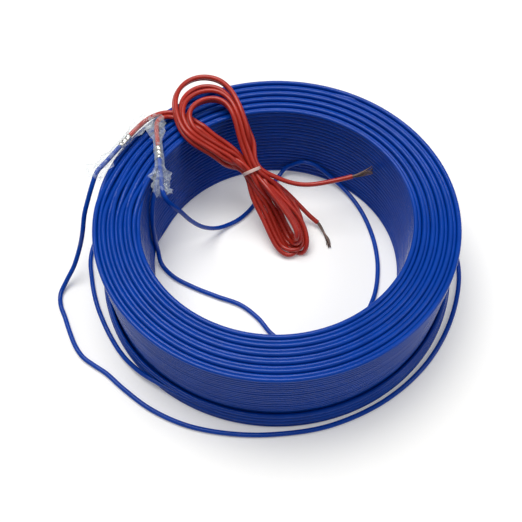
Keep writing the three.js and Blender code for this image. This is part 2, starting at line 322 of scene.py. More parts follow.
def crimp_face(splice, side):
    """The point on the splice's line where a wire or lead meets the barrel's end."""
    length = splice_frame(splice)[0]
    return along_splice(splice, splice["crimp_at"] + side * (CRIMP_LENGTH / 2 + CRIMP_GAP) / length)


def sleeve_run(splice):
    return [crimp_face(splice, 1), along_splice(splice, 0.8), splice["wire"]]


print("outer splice is", round(float(splice_frame(splices["outer"])[0]), 1), "mm")

# %% [markdown]
# The outer end of the wire drops from its splice over the coil's edge and runs once round on the floor.
# Then it climbs on the coil's foot for two slack turns and goes into the wound turns behind. It is one
# free cord from the barrel to the coil.

# %% Outer end of the wire
OUTER_DROP = [
    [-84.6, 15.6, 43.5], [-87.0, 12.0, 38.0], [-89.4, 7.5, 32.0], [-91.3, 2.3, 24.0],
    [-93.5, -0.6, 17.0], [-97.2, -6.6, 9.0], [-101.4, -12.1, 3.6], [-103.8, -17.8, 1.2],
]
OUTER_ROUND = [
    [-167.0, 105.6, 1.1], [-163.0, 104.4, 1.1], [-158.0, 103.8, 1.1], [-153.5, 103.4, 1.1],
    [-149.8, 102.2, 1.1], [-146.2, 99.6, 1.1], [-142.6, 97.2, 1.1], [-135.5, 95.5, 1.1],
    [-126.0, 94.3, 1.1], [-115.0, 92.4, 1.1], [-103.0, 89.7, 1.1], [-90.0, 87.6, 1.1],
    [-74.0, 86.8, 1.1], [-55.0, 86.5, 1.1], [-36.0, 87.0, 1.1], [-16.0, 88.0, 1.1],
    [2.0, 89.0, 1.1], [30.0, 88.4, 1.1], [60.0, 87.6, 1.1], [90.0, 87.4, 1.1], [114.0, 87.4, 1.1],
]
LOOSE_FIRST = [
    [138.0, 87.8, 1.1], [160.0, 90.6, 1.1], [176.5, 92.0, 1.1], [186.0, 90.2, 1.1], [194.0, 88.9, 1.1],
    [201.0, 87.8, 1.1], [209.0, 87.0, 1.3], [216.5, 86.5, 2.2], [224.5, 85.4, 3.8], [232.0, 83.8, 5.1],
]
LOOSE_SECOND = [[560.0, 82.4, 5.5], [573.0, 82.6, 6.0], [584.0, 82.5, 7.0], [594.0, 82.2, 7.5]]
INTO_COIL = [[768.0, 81.7, 7.7], [773.0, 80.6, 7.9], [778.0, 79.4, 8.1]]


def outer_wire_route():
    on_coil = np.vstack([
        OUTER_ROUND,
        LOOSE_FIRST,
        wound(242, 544, 82.4, 5.4, 22),
        LOOSE_SECOND,
        wound(606, 762, 82.0, 7.6, 12),
        INTO_COIL,
    ])
    return smooth_route(np.vstack([sleeve_run(splices["outer"]), OUTER_DROP, around_coil(on_coil)]), 1.5)


outer_route = outer_wire_route()
outer_wire = wire_curve("outer_end_of_wire", outer_route, WIRE_D, blue_pvc)
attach(outer_wire, "root")
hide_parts("outer_tail", "loose_turns")
print("outer end:", round(route_length(outer_route)), "mm")

# %% [markdown]
# The inner end of the wire makes one springy loop in the bore. It leaves its splice, drops to the floor,
# leans on the bore's back wall, comes round at the front and climbs the left wall to the innermost layer.

# %% Inner end of the wire
INNER_LOOP = [
    [-49.9, 7.0, 44.9], [-48.3, 6.4, 41.8], [-44.3, 7.2, 34.5], [-40.6, 9.6, 24.0], [-35.4, 13.8, 12.5],
    [-29.2, 19.2, 4.2], [-23.4, 23.4, 1.6], [-19.0, 26.6, 1.2], [-14.2, 31.6, 1.2], [-9.6, 38.6, 1.2],
    [-4.0, 46.6, 1.4], [1.0, 53.2, 2.2], [4.7, 57.2, 4.6], [8.9, 57.3, 7.6], [14.0, 56.5, 10.6],
    [19.1, 54.9, 10.6], [24.4, 52.7, 8.2], [30.5, 49.2, 4.6], [36.8, 43.2, 2.2], [42.8, 33.4, 1.3],
    [46.9, 22.1, 1.15], [49.3, 10.0, 1.15], [49.6, -4.0, 1.15], [46.4, -19.8, 1.15], [38.0, -34.2, 1.15],
    [24.0, -43.6, 1.15], [10.0, -45.0, 1.15], [-1.1, -39.7, 1.15], [-8.4, -30.6, 1.15], [-16.6, -23.6, 1.15],
    [-28.8, -18.6, 1.15], [-40.4, -13.4, 1.15], [-50.2, -7.6, 1.3], [-56.4, -0.6, 2.0], [-57.9, 4.1, 7.0],
    [-58.3, 4.7, 17.5], [-58.4, 7.5, 26.0], [-57.9, 12.0, 32.0], [-56.4, 18.0, 37.5],
    [-55.2, 23.0, 40.6], [-55.0, 27.8, 41.6],
]
inner_route = smooth_route(np.vstack([sleeve_run(splices["inner"]), INNER_LOOP]), 1.5)
inner_wire = wire_curve("inner_end_of_wire", inner_route, WIRE_D, blue_pvc)
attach(inner_wire, "root")
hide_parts("inner_tail")
print("inner end:", round(route_length(inner_route)), "mm")

# %% [markdown]
# Each red lead is one cord. From its splice it runs straight to the tie, and then it goes round three
# small loops below the tie and three large loops above it, by turns, and ends in a short free piece.
# So fourteen strands pass through the tie. Each has its own place in the bundle there.

# %% Places of the strands in the tie
NECK = np.array([-11.8, 36.4, 28.0])
NECK_AXIS = np.array([-17.8, 32.4, 26.0]) / np.linalg.norm([-17.8, 32.4, 26.0])
NECK_RIGHT = np.array([1.0, 0, 0]) - NECK_AXIS[0] * NECK_AXIS
NECK_RIGHT /= np.linalg.norm(NECK_RIGHT)
NECK_FRONT = np.cross(NECK_RIGHT, NECK_AXIS)

LEFT_PLACES = {
    1: (-3.0, -4.1), 2: (-1.8, -2.0), 3: (-3.0, 0.0),
    4: (-1.8, 2.0), 5: (-0.6, 4.1), 6: (-0.6, 0.0),
}
RIGHT_PLACES = {
    1: (3.0, 2.0), 2: (1.8, -4.1), 3: (3.0, -2.0),
    4: (1.8, 4.1), 5: (1.8, 0.0), 6: (0.6, 2.0),
}
STRAIGHT_PLACES = {"outer": (0.6, -2.0), "inner": (-0.6, -4.1)}


def in_tie(place, downward, reach=1.6):
    """Two points through the tie at a place [right, front] of the bundle, in the order of travel."""
    centre = NECK + place[0] * NECK_RIGHT + place[1] * NECK_FRONT
    side = -1 if downward else 1
    return np.array([centre - side * reach * NECK_AXIS, centre + side * reach * NECK_AXIS])


print("front of the bundle faces", NECK_FRONT.round(2))

# %% [markdown]
# The large loops lie on the coil, one in another. The outermost and the innermost are given as routes,
# and each of the six is a blend of the two. Its share changes along the way, because the strands lie
# close together at the sides and spread at the far end. The small loops below the tie are made alike.

# %% Loops above the tie
UPPER_OUTERMOST = np.array([
    [-20.6, 37.4, 33.0], [-26.8, 38.4, 37.4], [-32.8, 38.7, 42.0], [-38.0, 39.0, 45.2], [-44.1, 42.9, 47.6],
    [-48.8, 55.6, 49.0], [-50.1, 62.8, 49.5], [-48.6, 70.8, 49.5], [-43.4, 77.6, 49.5], [-35.9, 79.7, 49.5],
    [-27.3, 76.8, 49.5], [-21.2, 69.0, 49.5], [-16.8, 58.4, 48.0], [-14.2, 50.2, 42.4], [-12.8, 44.6, 35.8],
])
UPPER_INNERMOST = np.array([
    [-19.6, 39.0, 33.4], [-25.6, 41.2, 37.6], [-31.9, 42.8, 42.2], [-36.4, 43.9, 45.6], [-39.2, 46.0, 47.6],
    [-41.4, 50.8, 49.0], [-41.2, 57.6, 49.5], [-39.6, 61.6, 49.5], [-36.4, 64.7, 49.5], [-30.8, 66.5, 49.5],
    [-26.5, 65.0, 49.5], [-23.3, 61.0, 49.2], [-20.8, 54.4, 47.6], [-18.2, 49.0, 42.2], [-15.6, 44.0, 35.6],
])
UPPER_SHARES = {
    1: (0.0, 0.0, 0.0, -1.2), 2: (0.12, 0.1, 0.14, 1.1), 3: (0.36, 0.4, 0.38, -1.3),
    4: (0.48, 0.78, 0.5, 1.1), 5: (0.76, 1.1, 0.76, -1.2), 6: (0.9, 1.16, 0.88, 1.2),
}


def upper_loop(number):
    """Outermost + share * (innermost - outermost), with the share of the left, the far end and the right."""
    left, far, right, lift = UPPER_SHARES[number]
    station = np.arange(len(UPPER_OUTERMOST))
    share = np.interp(station, [0, 5, 8, 10, 12, 14], [left, left, far, far, right, right])
    loop = UPPER_OUTERMOST + share[:, None] * (UPPER_INNERMOST - UPPER_OUTERMOST)
    loop[:, 2] += lift * np.interp(station, [0, 3, 12, 14], [0.6, 1, 1, 0.6])
    return loop


print("upper loop 1 is about", round(route_length(upper_loop(1))), "mm round")

# %% Loops below the tie
LOWER_OUTERMOST = np.array([
    [-4.9, 34.4, 24.0], [0.7, 33.0, 20.0], [5.6, 30.6, 16.0], [10.0, 27.0, 12.6], [12.6, 22.2, 9.0],
    [13.6, 17.0, 6.0], [13.4, 11.4, 3.6], [11.2, 6.2, 2.2], [7.4, 3.4, 1.6], [3.6, 3.9, 1.7],
    [0.8, 7.3, 3.5], [-1.9, 12.0, 7.0], [-4.4, 17.7, 11.0], [-6.7, 23.2, 15.0], [-9.0, 27.1, 19.0],
    [-11.9, 30.6, 23.0],
])
LOWER_INNERMOST = np.array([
    [-4.9, 29.4, 25.6], [-0.6, 23.4, 23.4], [2.6, 19.6, 20.8], [5.6, 16.5, 18.0], [8.4, 13.2, 16.0],
    [10.6, 9.7, 14.0], [11.8, 7.0, 11.5], [11.8, 6.6, 7.6], [10.2, 8.4, 3.8], [7.8, 12.0, 1.9],
    [5.2, 15.8, 3.4], [2.7, 19.2, 6.8], [0.2, 22.7, 10.8], [-3.0, 25.8, 15.8], [-6.2, 28.8, 20.2],
    [-9.2, 31.0, 25.4],
])
LOWER_SHARES = {
    1: (0.0, 0.05, -0.06, 0.0), 2: (0.34, 0.26, 0.2, 0.3), 3: (0.7, 0.7, 0.8, 0.0),
    4: (0.86, 0.86, 0.95, 0.6), 5: (1.02, 1.02, 1.1, 1.2), 6: (0.4, 0.42, 0.6, 0.2),
}
LOOP_THAT_STANDS_OUT = 6
STAND_OUT = np.array([3.4, -0.6, -1.0])
STAND_OUT_AT = 6.6
STAND_OUT_WIDTH = 2.6


def lower_loop(number):
    """Outermost + share * (innermost - outermost), with shares of the right, the near end and the left."""
    right, near, left, lift = LOWER_SHARES[number]
    station = np.arange(len(LOWER_OUTERMOST))
    share = np.interp(station, [0, 4, 7, 9, 12, 15], [right, right, near, near, left, left])
    loop = LOWER_OUTERMOST + share[:, None] * (LOWER_INNERMOST - LOWER_OUTERMOST)
    loop[:, 2] += lift
    if number == LOOP_THAT_STANDS_OUT:
        loop += STAND_OUT * np.exp(-((station - STAND_OUT_AT) / STAND_OUT_WIDTH) ** 2)[:, None]
    return loop


print("lower loop 1 is about", round(route_length(lower_loop(1))), "mm round")

# %% Routes of the two leads
OUTER_LEAD = [
    [-61.3, 54.4, 46.8], [-57.6, 57.4, 46.0], [-53.8, 59.0, 46.0], [-50.6, 59.2, 45.8], [-46.8, 58.4, 45.4],
    [-43.0, 56.6, 45.4], [-39.7, 53.8, 45.4], [-33.9, 49.2, 44.2], [-28.1, 45.9, 41.0], [-22.4, 42.7, 37.0],
]
INNER_LEAD = [
    [-57.9, 53.4, 47.4], [-56.6, 55.4, 46.5], [-54.2, 56.2, 46.0], [-50.4, 56.2, 45.8], [-46.4, 55.2, 45.4],
    [-43.2, 53.2, 45.4], [-39.5, 50.3, 45.4], [-33.6, 46.1, 43.6], [-28.0, 43.3, 40.0], [-22.3, 40.1, 36.0],
]
LONG_END = [
    [-3.4, 35.0, 27.0], [0.4, 33.9, 26.0], [7.4, 31.6, 24.2], [14.9, 31.0, 23.5], [22.3, 31.9, 24.0],
    [29.8, 33.0, 25.2], [37.1, 33.8, 27.0],
]
SHORT_END = [
    [-3.6, 35.6, 22.8], [0.4, 34.6, 19.4], [4.9, 33.6, 15.4], [9.2, 31.6, 11.0], [13.2, 28.8, 7.4],
    [17.2, 26.0, 4.6], [21.0, 23.3, 3.0],
]


CORNER_PASSES = 14


def smoothed(values, ends, passes):
    """Each value moves half way to the mean of its two neighbours, but not across a cord's ends."""
    for _ in range(passes):
        mean = (np.roll(values, 1, axis=0) + np.roll(values, -1, axis=0)) / 2
        values = np.where(ends[:, None], values, (values + mean) / 2)
    return values


def lead_route(side, start, upper_order, lower_order, free_end):
    """From the barrel straight to the tie, then lower and upper loops by turns, then the free end.

    The joined route is smoothed, because the loops meet the tie's straight places at small corners.
    """
    splice = splices[side]
    parts = [[crimp_face(splice, -1), along_splice(splice, 0.1)], start, in_tie(STRAIGHT_PLACES[side], True)]
    for upper, lower in zip(upper_order, lower_order):
        parts.append(lower_loop(lower))
        parts.append(in_tie(LEFT_PLACES[upper], False))
        parts.append(upper_loop(upper))
        parts.append(in_tie(RIGHT_PLACES[upper], True))
    parts.append(free_end)
    route = smooth_route(np.vstack(parts), 1.25)
    is_end = np.arange(len(route)) % (len(route) - 1) == 0
    return smoothed(route, is_end, CORNER_PASSES)


lead_routes = {
    "outer": lead_route("outer", OUTER_LEAD, (3, 5, 1), (6, 4, 1), LONG_END),
    "inner": lead_route("inner", INNER_LEAD, (6, 4, 2), (3, 5, 2), SHORT_END),
}
print("leads before they settle:", [round(route_length(r)) for r in lead_routes.values()], "mm")

# %% [markdown]
# The drawn routes run into one another in a few places, which real strands can't do. So the leads
# are settled: wherever two strands are closer than their thickness, both are pushed apart, and each is
# held above the floor and the coil's top. The pushes are smoothed along the strand, so it stays springy.
# Near the tie the strands are all but held, so some of them still press into one another there.

# %% Settle the leads
COIL_TOP = 44.0
BORE_R = 61.0
SAME_STRETCH = 6
HELD_AT_END = 4
FREED_OVER = 12
HELD_AT_TIE = 2.0
FREED_FROM_TIE = 20.0
LEAST_FREEDOM = 0.05
PUSH_PASSES = 14
PUSH_SHARE = 0.7
ON_SPLICE = 16


def settle(routes, diameter, rounds):
    """Push apart points of different stretches that are closer than a diameter, for a number of rounds."""
    sizes = [len(route) for route in routes]
    place = np.vstack(routes)
    order = np.concatenate([np.arange(n) + 10000 * i for i, n in enumerate(sizes)])
    from_end = np.concatenate([np.minimum(np.arange(n), np.arange(n)[::-1]) for n in sizes])
    ends = from_end < 1
    from_tie = np.linalg.norm(place - NECK, axis=1)
    free_of_end = np.clip((from_end - HELD_AT_END) / FREED_OVER, 0, 1)
    free_of_tie = np.clip((from_tie - HELD_AT_TIE) / FREED_FROM_TIE, LEAST_FREEDOM, 1)
    loose = (free_of_end * free_of_tie)[:, None]
    apart = np.abs(order[:, None] - order[None, :]) > SAME_STRETCH
    for _ in range(rounds):
        between = place[:, None, :] - place[None, :, :]
        distance = np.sqrt((between**2).sum(axis=2)) + 1e-9
        press = np.where(apart, np.clip(diameter - distance, 0, None), 0)
        touching = np.maximum((press > 0).sum(axis=1), 1)[:, None]
        push = (between * (press / distance)[:, :, None]).sum(axis=1) / touching
        push = smoothed(push, ends, PUSH_PASSES)
        place = place + PUSH_SHARE * push * loose
        place[:, 2] = np.maximum(place[:, 2], diameter / 2)
        on_coil = np.hypot(place[:, 0], place[:, 1]) > BORE_R - 0.5
        low = on_coil & (place[:, 2] < COIL_TOP + diameter / 2) & (from_end > ON_SPLICE)
        place[:, 2] = np.where(low, COIL_TOP + diameter / 2, place[:, 2])
        place = np.where(loose > 0, smoothed(place, ends, 1) * 0.5 + place * 0.5, place)
    return np.split(place, np.cumsum(sizes)[:-1])


rounds = 32
settled = settle(list(lead_routes.values()), LEAD_D, rounds)
lead_routes = {side: even_steps(route, 1.25) for side, route in zip(lead_routes, settled)}
print("leads after they settle:", [round(route_length(r)) for r in lead_routes.values()], "mm")

# %% The two red leads
outer_lead = wire_curve("outer_red_lead", lead_routes["outer"], LEAD_D, red_pvc)
inner_lead = wire_curve("inner_red_lead", lead_routes["inner"], LEAD_D, red_pvc)
for lead in (outer_lead, inner_lead):
    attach(lead, "root")
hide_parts("outer_lead", "lead_hank", "long_free_end")
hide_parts("inner_lead", "short_free_end")
print("leads made:", outer_lead.name, inner_lead.name)

# %% [markdown]
# Every other piece is a surface over a grid. The helper takes an array of points, one for each pair of
# the two parameters, and makes the faces between neighbours. A way round is closed by joining its last
# column to its first, and an end may get a cap.

# %% Grids to meshes
def grid_faces(rows, columns, closed):
    """Four corners of each cell. Going round, the last column joins the first when closed."""
    row = np.arange(rows - 1)[:, None]
    column = np.arange(columns if closed else columns - 1)[None, :]
    after = (column + 1) % columns
    corner = row * columns + column
    return np.stack([
        corner,
        row * columns + after,
        (row + 1) * columns + after,
        (row + 1) * columns + column,
    ], axis=-1).reshape(-1, 4)


def mesh_piece(name, vertices_mm, faces, material, smooth=True):
    mesh = bpy.data.meshes.new(name)
    mesh.from_pydata((np.asarray(vertices_mm) * MM).tolist(), [], [list(face) for face in faces])
    mesh.polygons.foreach_set("use_smooth", np.full(len(mesh.polygons), smooth))
    mesh.materials.append(material)
    mesh.update()
    piece = bpy.data.objects.new(name, mesh)
    bpy.context.scene.collection.objects.link(piece)
    return piece


def tubes_mesh(centre, right, front, radius, sides):
    """Circles of the radius about each centre point, in the plane of right and front; several tubes at once.

    centre, right and front are arrays [tube, step, axis]. Both ends of each tube get a cap.
    """
    tubes, steps = centre.shape[:2]
    angle = 2 * np.pi * np.arange(sides) / sides
    radius = np.broadcast_to(radius, (tubes, steps))
    ring = right[:, :, None, :] * np.cos(angle)[None, None, :, None]
    ring = ring + front[:, :, None, :] * np.sin(angle)[None, None, :, None]
    points = centre[:, :, None, :] + ring * radius[:, :, None, None]
    side = grid_faces(steps, sides, True)
    starts = np.arange(tubes)[:, None, None] * steps * sides
    faces = (side[None] + starts).reshape(-1, 4).tolist()
    first = (np.arange(sides)[::-1][None] + starts[:, 0]).tolist()
    last = (np.arange(sides)[None] + (steps - 1) * sides + starts[:, 0]).tolist()
    return points.reshape(-1, 3), faces + first + last


print("a grid of 3 by 4 points has", len(grid_faces(3, 4, True)), "faces round")

# %% [markdown]
# The coil has eleven layers of twenty turns. Only the turns on its faces show, so those are made: the
# end turns of all the layers, and the whole innermost and outermost layers. A wound wire keeps level for
# most of each turn and then crosses to the next place. At the ends it crosses outwards by one layer,
# which shows at the left, and on the walls it crosses up by one turn. The coil came off a slightly
# tapered former, so its walls are two millimetres nearer the axis at the foot.

# %% Sizes of the winding
LAYERS = 11
TURNS_HIGH = 20
FOOT_TURNS = 2
layer_pitch = WIRE_D * np.sqrt(3) / 2
first_radius = BORE_R + WIRE_D / 2
TAPER = 2.0
STEPS_A_TURN = 144
WIRE_SIDES = 12


def leaning(radius, height):
    """The radius less the taper at the foot and none of it at the top, because the former was tapered."""
    return radius - TAPER * (1 - height / COIL_TOP)


def step_share(phase, start, width):
    """0 before the crossing, 1 after it, and 3t^2 - 2t^3 in it."""
    t = np.clip((phase - start) / width, 0, 1)
    return t * t * (3 - 2 * t)


def waver(turn, seed, size):
    """A small change along the wire: three sines whose waves don't fit a whole turn."""
    draw = np.random.default_rng(seed)
    wave = draw.uniform(1.3, 7.7, 3)
    start = draw.uniform(0, 2 * np.pi, 3)
    return size * np.sin(turn[:, None] * wave + start).sum(axis=1) / 1.7


def upright_tube(azimuth, radius, height):
    """A tube's line round the coil, with its sideways direction outwards and its front direction up."""
    centre = np.stack([radius * np.cos(azimuth), radius * np.sin(azimuth), height], axis=1)
    outward = np.stack([np.cos(azimuth), np.sin(azimuth), np.zeros_like(azimuth)], axis=1)
    upward = np.broadcast_to([0.0, 0.0, 1.0], centre.shape)
    return centre[None], outward[None], upward[None]


print("layer pitch", round(layer_pitch, 3), "mm")

# %% Turns on the two ends
CROSSING_AT = 164.0
CROSSING_WIDTH = 22.0


def end_turns(side, seed):
    """A spiral: radius = first + pitch * layer, and odd layers lie half a turn nearer the middle."""
    count = LAYERS * STEPS_A_TURN
    turn = np.linspace(0, LAYERS, count + 1)
    whole = np.minimum(np.floor(turn), LAYERS - 1)
    phase = (turn - whole) * 360
    draw = np.random.default_rng(seed)
    starts = 360 - CROSSING_WIDTH - draw.uniform(0, 10, LAYERS)
    crossing = step_share(phase, starts[whole.astype(int)], CROSSING_WIDTH)
    crossing = np.where(whole == LAYERS - 1, 0, crossing)
    layer = whole + crossing
    azimuth = np.radians(CROSSING_AT + CROSSING_WIDTH + turn * 360)
    radius = first_radius + layer_pitch * layer + waver(turn, seed + 1, 0.1)
    dip = WIRE_D / 2 * np.sin(np.pi * layer / 2) ** 2
    sink = WIRE_D * (step_share(-turn, -0.06, 0.06) + step_share(turn, LAYERS - 0.06, 0.06))
    top = TURNS_HIGH * WIRE_D - WIRE_D / 2 - dip - sink + waver(turn, seed + 2, 0.06) - 0.06
    height = top if side > 0 else TURNS_HIGH * WIRE_D - top
    return upright_tube(azimuth, leaning(radius, height), height)


def add_mesh_parts(name, parts, radius, sides, material):
    """Several tube runs of different lengths in one mesh: their points follow one another."""
    vertices = []
    faces = []
    for centre, right, front in parts:
        points, cells = tubes_mesh(centre, right, front, radius, sides)
        offset = sum(len(v) for v in vertices)
        vertices.append(points)
        faces.extend([[corner + offset for corner in cell] for cell in cells])
    return mesh_piece(name, np.vstack(vertices), faces, material)


ends = add_mesh_parts(
    "turns_on_the_ends", [end_turns(1, 11), end_turns(-1, 21)], WIRE_D / 2, WIRE_SIDES, blue_pvc
)
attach(ends, "root")
print("turns on the ends:", len(ends.data.polygons), "faces")

# %% Turns on the two walls
def wall_turns(radius, first_turn, turns, crossing_at, seed, leans=True):
    """A stepped helix: level turns at the radius, a climb of one turn in each crossing, and sunk ends."""
    turn = np.linspace(0, turns, turns * STEPS_A_TURN + 1)
    whole = np.floor(turn)
    climb = step_share((turn - whole) * 360, 340, 20)
    azimuth = np.radians(crossing_at + turn * 360)
    height = WIRE_D / 2 + WIRE_D * (first_turn + np.minimum(whole + climb, turns - 1 + climb))
    height = np.clip(height, WIRE_D / 2, TURNS_HIGH * WIRE_D - WIRE_D)
    radius = leaning(radius, height) if leans else np.full(len(turn), radius)
    sink = WIRE_D * (step_share(-turn, -0.05, 0.05) + step_share(turn, turns - 0.05, 0.05))
    into_the_wall = np.sign(middle_radius - radius)
    radius = radius + into_the_wall * sink + waver(turn, seed, 0.09)
    return upright_tube(azimuth, radius, height + waver(turn, seed + 1, 0.05))


outer_radius = first_radius + (LAYERS - 1) * layer_pitch
middle_radius = (first_radius + outer_radius) / 2
walls = add_mesh_parts(
    "turns_on_the_walls",
    [
        wall_turns(first_radius, 1, TURNS_HIGH - 2, 168, 31),
        wall_turns(outer_radius, 1, TURNS_HIGH - 2, 72, 41),
        wall_turns(outer_radius + layer_pitch, 0, FOOT_TURNS, 75, 51, False),
    ],
    WIRE_D / 2,
    WIRE_SIDES,
    blue_pvc,
)
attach(walls, "root")
print("turns on the walls:", len(walls.data.polygons), "faces")

# %% [markdown]
# Between the turns a little of the inside shows. Hundreds of hidden turns would cost much and change
# nothing, so one plain ring of the same plastic lies behind the turns. It stands for the coil's solid.

# %% Core behind the turns
def turned_ring(profile, segments):
    """A closed outline [radius, height] carried round the coil's axis."""
    radius, height = np.asarray(profile, float).T
    azimuth = 2 * np.pi * np.arange(segments) / segments
    x = radius[:, None] * np.cos(azimuth)
    y = radius[:, None] * np.sin(azimuth)
    z = np.broadcast_to(height[:, None], x.shape)
    points = np.stack([x, y, z], axis=-1)
    return np.vstack([points, points[:1]]).reshape(-1, 3), grid_faces(len(profile) + 1, segments, True)


core_points, core_faces = turned_ring([
    [first_radius - TAPER, 2.0], [outer_radius + 1.0, 2.0], [outer_radius - TAPER + 0.2, 4.6],
    [outer_radius, COIL_TOP - 2.6], [first_radius, COIL_TOP - 2.6],
], 96)
core = mesh_piece("inside_of_the_coil", core_points, core_faces, blue_pvc)
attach(core, "root")
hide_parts("heating_cable_coil")
print("core:", len(core_faces), "faces")

# %% [markdown]
# The tie is a narrow plastic strip, pulled tight round the fourteen strands. Its section is a rounded
# bar carried round an oval, which the strands press a little out of shape.

# %% Tie round the bundle
def tie_strip():
    """An oval of strip, 4.5 mm by 5.6 mm in half widths, whose section is a bar of rounded corners."""
    around = 2 * np.pi * np.arange(96) / 96
    section = 2 * np.pi * np.arange(16) / 16
    corner = 0.35
    across = np.sign(np.cos(section)) * np.abs(np.cos(section)) ** corner * 0.32
    along = np.sign(np.sin(section)) * np.abs(np.sin(section)) ** corner * 0.8
    wide = 5.1 - 0.55 * np.cos(2 * around)[:, None] + 0.05 * np.cos(7 * around)[:, None] + across[None]
    direction = np.cos(around)[:, None] * NECK_RIGHT + np.sin(around)[:, None] * NECK_FRONT
    points = NECK + wide[:, :, None] * direction[:, None, :] + along[None, :, None] * NECK_AXIS
    points = np.vstack([points, points[:1]])
    return points.reshape(-1, 3), grid_faces(97, 16, True)


tie_points, tie_faces = tie_strip()
tie = mesh_piece("tie_strip", tie_points, tie_faces, tie_plastic)
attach(tie, "root")
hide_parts("hank_tie")
print("tie:", len(tie_faces), "faces")

# %% [markdown]
# Metal shows in two places: the crimped barrels in the splices, and the bare strands at the leads' ends.
# The barrels are tinned and bright. The strands are thin copper wires with a dull tin on them, so they
# look brown and grey by turns.

# %% Metals
def metal(name, colour, other, roughness, scale):
    material, nodes, link, shader = started_material(name)
    place = nodes.new("ShaderNodeTexCoord")
    noise = nodes.new("ShaderNodeTexNoise")
    noise.inputs["Scale"].default_value = scale
    noise.inputs["Detail"].default_value = 4
    link(place.outputs["Object"], noise.inputs["Vector"])
    mix = nodes.new("ShaderNodeMixRGB")
    mix.inputs["Color1"].default_value = (*colour, 1)
    mix.inputs["Color2"].default_value = (*other, 1)
    link(noise.outputs["Fac"], mix.inputs["Fac"])
    link(mix.outputs[0], shader.inputs["Base Color"])
    rough = nodes.new("ShaderNodeMath")
    rough.operation = "MULTIPLY_ADD"
    rough.inputs[1].default_value = 0.25
    rough.inputs[2].default_value = roughness
    link(noise.outputs["Fac"], rough.inputs[0])
    link(rough.outputs[0], shader.inputs["Roughness"])
    shader.inputs["Metallic"].default_value = 1.0
    material.diffuse_color = (*colour, 1)
    return material


tinned = metal("tinned_barrel", (0.82, 0.8, 0.76), (0.6, 0.58, 0.55), 0.18, 500)
strand_metal = metal("dull_strands", (0.2, 0.12, 0.09), (0.14, 0.12, 0.115), 0.28, 900)
print("metals:", tinned.name, strand_metal.name)

# %% Crimped barrels
CRIMP_RADIUS = 1.5
DENTS_AT = (2.2, 4.8)
DENT_WIDTH = 0.8
DENT_DEPTH = 0.45


def crimped_barrel(splice):
    """A cylinder with two dents: its radius, less cos^2 round it times a bump along it for each dent."""
    length, axis, side, up = splice_frame(splice)
    start = along_splice(splice, splice["crimp_at"]) - axis * CRIMP_LENGTH / 2
    along = np.linspace(0, CRIMP_LENGTH, 40)
    angle = 2 * np.pi * np.arange(28) / 28
    dent = sum(np.exp(-((along - at) / DENT_WIDTH) ** 2) for at in DENTS_AT)
    lip = 0.16 * np.exp(-(along / 0.35) ** 2) + 0.16 * np.exp(-((CRIMP_LENGTH - along) / 0.35) ** 2)
    radius = CRIMP_RADIUS - lip[:, None] - DENT_DEPTH * dent[:, None] * np.cos(angle - 1.2)[None] ** 2
    ring = np.cos(angle)[:, None] * side + np.sin(angle)[:, None] * up
    points = start + along[:, None, None] * axis + radius[:, :, None] * ring[None]
    faces = grid_faces(40, 28, True).tolist()
    caps = [list(range(27, -1, -1)), [39 * 28 + i for i in range(28)]]
    return points.reshape(-1, 3), faces + caps


crimps = {}
for side, splice in splices.items():
    points, faces = crimped_barrel(splice)
    crimps[side] = mesh_piece(side + "_crimped_barrel", points, faces, tinned)
    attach(crimps[side], "root")
    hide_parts(side + "_splice_crimp")
print("barrels:", sorted(crimps))

# %% [markdown]
# The bare ends are bunches of thin strands. Each strand is a fine tube that twists about the bunch's line,
# and the long end's strands also spread towards their tips. All the strands of an end are one mesh, worked
# out at once.

# %% Bare strands
STRAND_D = 0.42


def bunch(line, count, spread_start, spread_end, twist, seed):
    """Strands at count places round the line, at a distance that grows along it, turned by the twist."""
    steps = len(line)
    draw = np.random.default_rng(seed)
    share = np.linspace(0, 1, steps)
    tangent = np.gradient(line, axis=0)
    tangent /= np.linalg.norm(tangent, axis=1)[:, None]
    side = np.cross(tangent, [0.0, 0.0, 1.0])
    side /= np.linalg.norm(side, axis=1)[:, None]
    up = np.cross(side, tangent)
    start = 2 * np.pi * (np.arange(count) + draw.uniform(-0.2, 0.2, count)) / count
    reach = draw.uniform(0.45, 1.0, count)
    reach[0] = 0.05
    angle = start[:, None] + twist * share[None]
    away = spread_start + (spread_end - spread_start) * share**1.3
    away = reach[:, None] * away[None]
    wobble = draw.normal(0, 0.25, count)[:, None] * share[None] ** 2 * spread_end
    centre = line[None] + (away * np.cos(angle) + wobble)[:, :, None] * side[None]
    centre = centre + (away * np.sin(angle))[:, :, None] * up[None]
    cut = draw.uniform(0.82, 1.0, count)
    centre = centre[:, :1] + (centre - centre[:, :1]) * cut[:, None, None]
    full = np.broadcast_to
    return centre, full(side, centre.shape), full(up, centre.shape)


LONG_TIP = [47.4, 35.2, 30.0]
SHORT_TIP = [[22.6, 20.9, 2.2], [24.3, 17.8, 1.4], [26.0, 13.8, 0.9], [26.8, 9.2, 0.8]]
long_line = smooth_route([LONG_END[-2], LONG_END[-1], [41.8, 34.4, 28.2], LONG_TIP], 0.7)[10:]
short_line = smooth_route([SHORT_END[-2], SHORT_END[-1], *SHORT_TIP], 0.6)[8:]
strands = {}
for name, node, line, root, spread, twist in (
    ("fanned_bare_strands", "fanned_strands", long_line, 0.55, 2.2, 1.0),
    ("twisted_bare_strands", "twisted_strands", short_line, 0.7, 0.9, 6.0),
):
    parts = [bunch(line, 12, root, spread, twist, len(name))]
    strands[node] = add_mesh_parts(name, parts, STRAND_D / 2, 6, strand_metal)
    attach(strands[node], "root")
    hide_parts(node)
print("bare ends:", sorted(strands))
